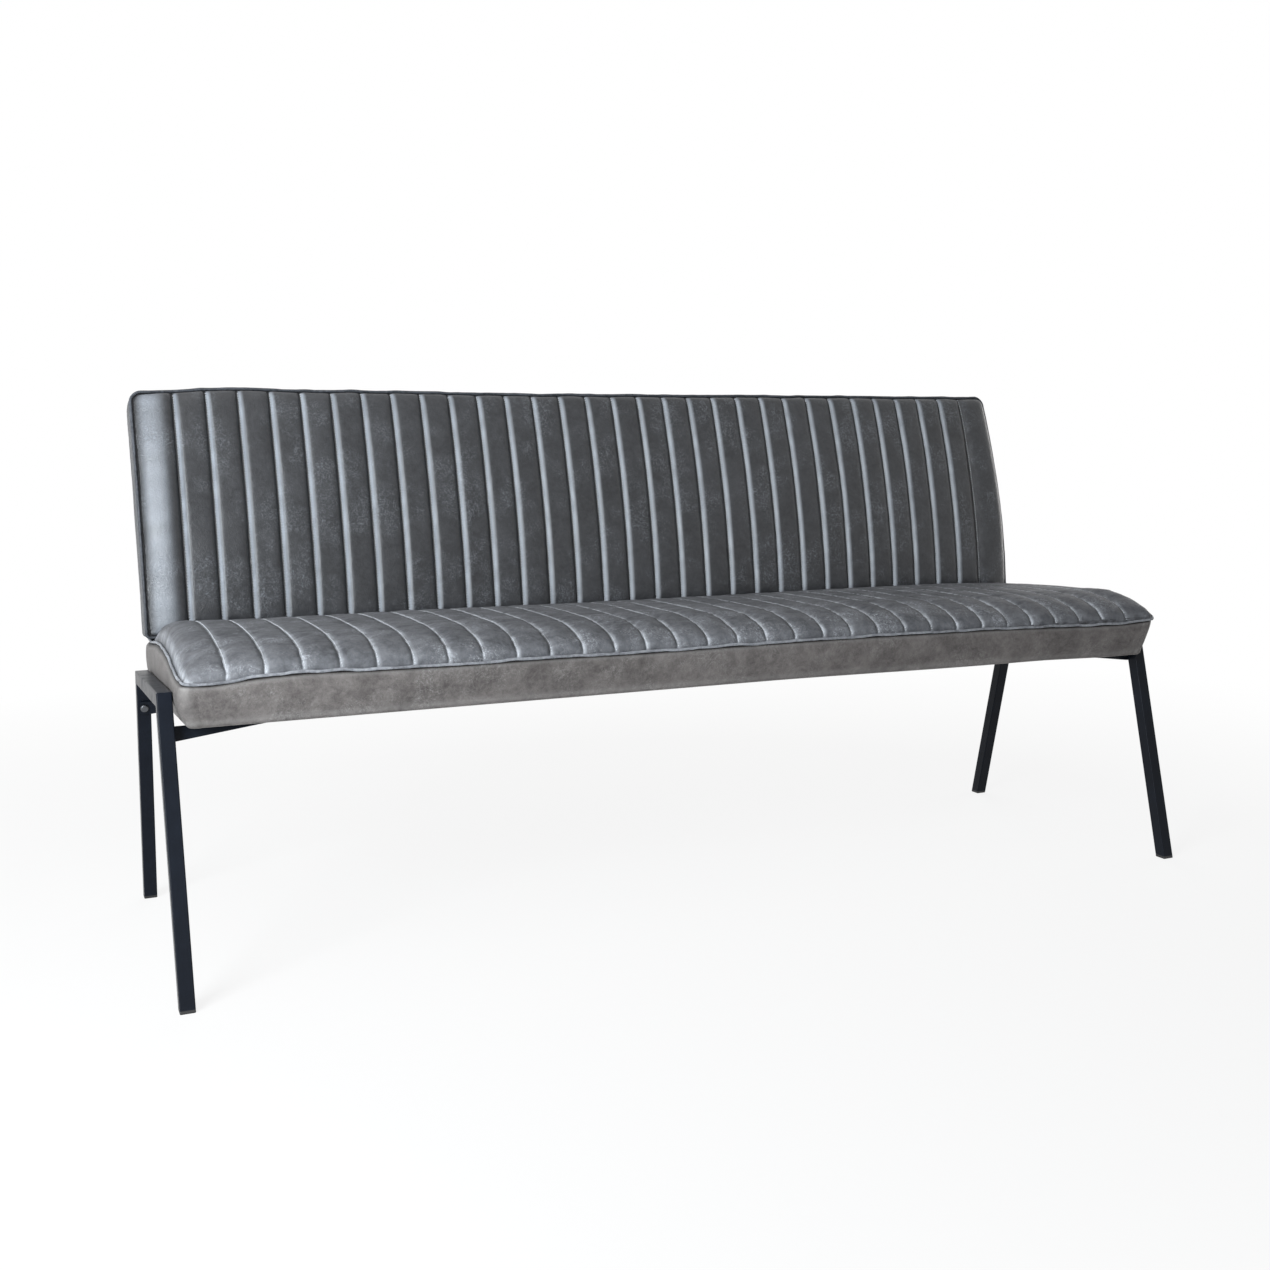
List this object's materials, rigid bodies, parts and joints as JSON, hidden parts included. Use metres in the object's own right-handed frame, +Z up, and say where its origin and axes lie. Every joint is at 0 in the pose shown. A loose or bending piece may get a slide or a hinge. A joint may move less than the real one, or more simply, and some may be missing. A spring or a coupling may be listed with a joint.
{
  "type": "dining sofa",
  "caption": "Upholstered dining bench with a leaning back, both sewn in upright channels, on splayed square-tube steel side frames.",
  "frame": {"origin": "on the floor, under the middle of the bench's overall length and depth", "axes": "+X along the bench, to the right as the picture shows it; -Y is the front, which a sitter faces; +Z up"},
  "size_m": [1.8, 0.6512, 0.8803],
  "materials": {
    "frame_steel": "black coated, satin",
    "bolt_steel": "bright plated",
    "screw_steel": "zinc plated",
    "glide_plastic": "moulded, matt",
    "back_leather": "dark grey distressed leather look, sewn in channels",
    "seat_leather": "grey distressed leather look, sewn in channels",
    "boxing_leather": "grey distressed leather look, plain",
    "piping_leather": "light grey rolled edge",
    "rear_leather": "grey distressed leather look, plain",
    "softwood": "planed, unfinished",
    "plywood": "sanded, unfinished",
    "foam": "upholstery foam",
    "wadding": "polyester wadding",
    "dust_cloth": "black non-woven cloth"
  },
  "bodies": {
    "root": {"back_board": "plywood", "back_boxing": "boxing_leather", "back_bracket_left": "frame_steel", "back_bracket_middle": "frame_steel", "back_bracket_right": "frame_steel", "back_foam": "foam", "back_piping_front": "piping_leather", "back_piping_rear": "piping_leather", "back_quilted_panel": "back_leather", "back_rail_bottom": "softwood", "back_rail_top": "softwood", "back_rear_panel": "rear_leather", "back_stile_left": "softwood", "back_stile_right": "softwood", "back_upright_left": "softwood", "back_upright_middle": "softwood", "back_upright_right": "softwood", "back_wadding": "wadding", "bracket_screws": "screw_steel", "foot_glide_front_left": "glide_plastic", "foot_glide_front_right": "glide_plastic", "foot_glide_rear_left": "glide_plastic", "foot_glide_rear_right": "glide_plastic", "frame_bolts": "bolt_steel", "front_leg_left": "frame_steel", "front_leg_right": "frame_steel", "leg_plate_front_left": "frame_steel", "leg_plate_front_right": "frame_steel", "leg_plate_rear_left": "frame_steel", "leg_plate_rear_right": "frame_steel", "plate_screws": "screw_steel", "rear_leg_left": "frame_steel", "rear_leg_right": "frame_steel", "seat_bearer_far_left": "softwood", "seat_bearer_far_right": "softwood", "seat_bearer_left": "softwood", "seat_bearer_middle": "softwood", "seat_bearer_right": "softwood", "seat_boxing": "boxing_leather", "seat_deck": "plywood", "seat_dust_cover": "dust_cloth", "seat_end_rail_left": "softwood", "seat_end_rail_right": "softwood", "seat_foam_core": "foam", "seat_foam_topper": "foam", "seat_piping": "piping_leather", "seat_quilted_panel": "seat_leather", "seat_rail_front": "softwood", "seat_rail_rear": "softwood", "side_rail_left": "frame_steel", "side_rail_right": "frame_steel"}
  },
  "joints": []
}
